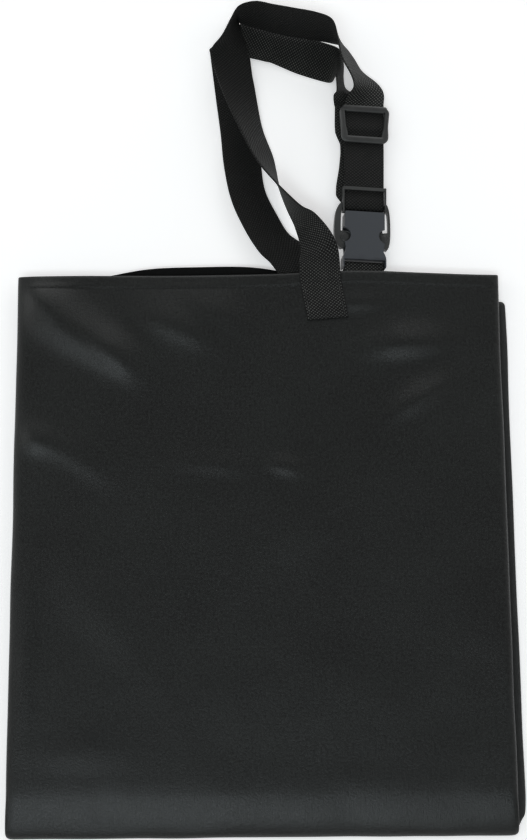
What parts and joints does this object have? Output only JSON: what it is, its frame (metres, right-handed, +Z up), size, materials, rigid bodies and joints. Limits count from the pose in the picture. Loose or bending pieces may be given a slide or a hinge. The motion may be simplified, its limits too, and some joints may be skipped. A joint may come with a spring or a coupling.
{
  "type": "garden tool bag",
  "caption": "Flat fabric bag for garden tools, folded once across, with an open mouth and a looped webbing strap that closes with a side-release buckle and a slider.",
  "frame": {"origin": "on the flat underside of the folded bag, at the middle of the folded rectangle", "axes": "+Z up out of the bag lying flat, +X along the mouth to the right, +Y from the cross fold towards the mouth and the strap"},
  "size_m": [0.361, 0.6113, 0.0348],
  "materials": {
    "fabric": "coated black woven fabric, satin",
    "webbing": "woven polypropylene webbing, coarse and matt",
    "buckle_plastic": "moulded, fine satin texture",
    "slider_plastic": "moulded, satin"
  },
  "bodies": {
    "bag_upper": {"front_panel_upper": "fabric", "back_panel_upper": "fabric", "front_hem": "fabric", "back_hem": "fabric", "side_seam_right_upper": "fabric", "side_seam_left_upper": "fabric", "front_panel_fold": "fabric", "back_panel_fold": "fabric", "strap_sewn_end": "webbing", "front_leg_rise": "webbing", "front_leg_side": "webbing", "front_leg_top": "webbing", "back_leg_rise": "webbing", "back_leg_side": "webbing", "back_leg_top": "webbing", "socket_strap_loop": "webbing", "socket_strap_sewn_end": "webbing", "buckle_socket": "buckle_plastic"},
    "bag_lower": {"back_panel_lower": "fabric", "front_panel_lower": "fabric", "side_seam_right_lower": "fabric", "side_seam_left_lower": "fabric", "closed_end_seam": "fabric"},
    "strap_end": {"plug_frame": "buckle_plastic", "strap_buckle_loop": "webbing", "front_leg_end": "webbing", "back_leg_end": "webbing"},
    "slider": {"tri_glide": "slider_plastic"},
    "arm_left": {"release_arm_left": "buckle_plastic"},
    "arm_right": {"release_arm_right": "buckle_plastic"}
  },
  "joints": [
    {"name": "bag_fold", "type": "hinge", "parent": "bag_upper", "child": "bag_lower", "pos_m": [0, -0.2046, 0.0071], "axis": [-1, 0, 0], "range_deg": [0, 180], "deforming": ["front_panel_fold", "back_panel_fold"]},
    {"name": "plug_release", "type": "slide", "parent": "bag_upper", "child": "strap_end", "axis": [0.0227, 0.9997, 0], "range_m": [0, 0.03], "deforming": ["front_leg_top", "back_leg_top", "release_arm_left", "release_arm_right"]},
    {"name": "slider_travel", "type": "slide", "parent": "strap_end", "child": "slider", "axis": [-0.0227, -0.9997, 0], "range_m": [0, 0.034]},
    {"name": "arm_left_press", "type": "hinge", "parent": "strap_end", "child": "arm_left", "pos_m": [0.06209, 0.25438, 0.01199], "axis": [0.1391, -0.0032, 0.9903], "range_deg": [0, 6], "stiffness_Nm_per_rad": 0.5},
    {"name": "arm_right_press", "type": "hinge", "parent": "strap_end", "child": "arm_right", "pos_m": [0.09614, 0.25361, 0.00721], "axis": [-0.1391, 0.0032, -0.9903], "range_deg": [0, 6], "stiffness_Nm_per_rad": 0.5}
  ]
}
